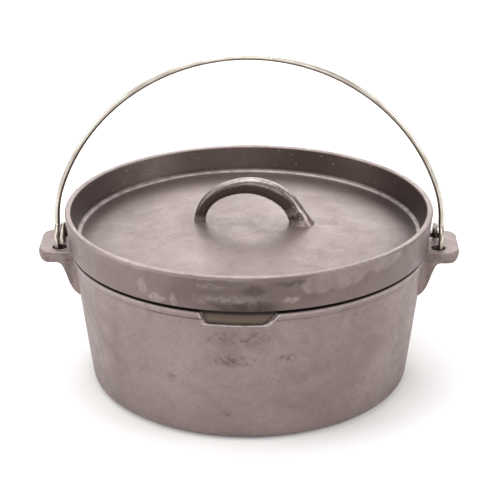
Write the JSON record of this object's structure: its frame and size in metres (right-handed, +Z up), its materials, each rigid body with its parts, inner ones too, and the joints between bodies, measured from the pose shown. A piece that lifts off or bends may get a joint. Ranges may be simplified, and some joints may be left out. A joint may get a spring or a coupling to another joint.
{
  "type": "cast iron dutch oven",
  "caption": "Round bare cast iron dutch oven with a deep-rimmed flanged lid, a cast loop handle, two cast ears and a swinging wire bail.",
  "frame": {"origin": "centre of the underside of the pot, on the surface it stands on", "axes": "+Z up; X through both ears, along the bail's swing axis; -Y towards the side with the rim recess"},
  "size_m": [0.3108, 0.2718, 0.2486],
  "materials": {
    "pot_iron": "bare satin casting, brownish grey",
    "lid_iron": "bare satin casting, mottled, brighter on the rim and plate",
    "bail_wire": "bright zinc-plated wire, lightly worn"
  },
  "bodies": {
    "pot": {"pot": "pot_iron"},
    "lid": {"lid": "lid_iron"},
    "bail": {"bail": "bail_wire"}
  },
  "joints": [
    {"name": "bail_swing", "type": "hinge", "parent": "pot", "child": "bail", "pos_m": [0, 0, 0.103], "axis": [1, 0, 0], "range_deg": [-75, 75]},
    {"name": "lid_removal", "type": "slide", "parent": "pot", "child": "lid", "axis": [0, -0.866, 0.5], "range_m": [0, 0.32]}
  ]
}
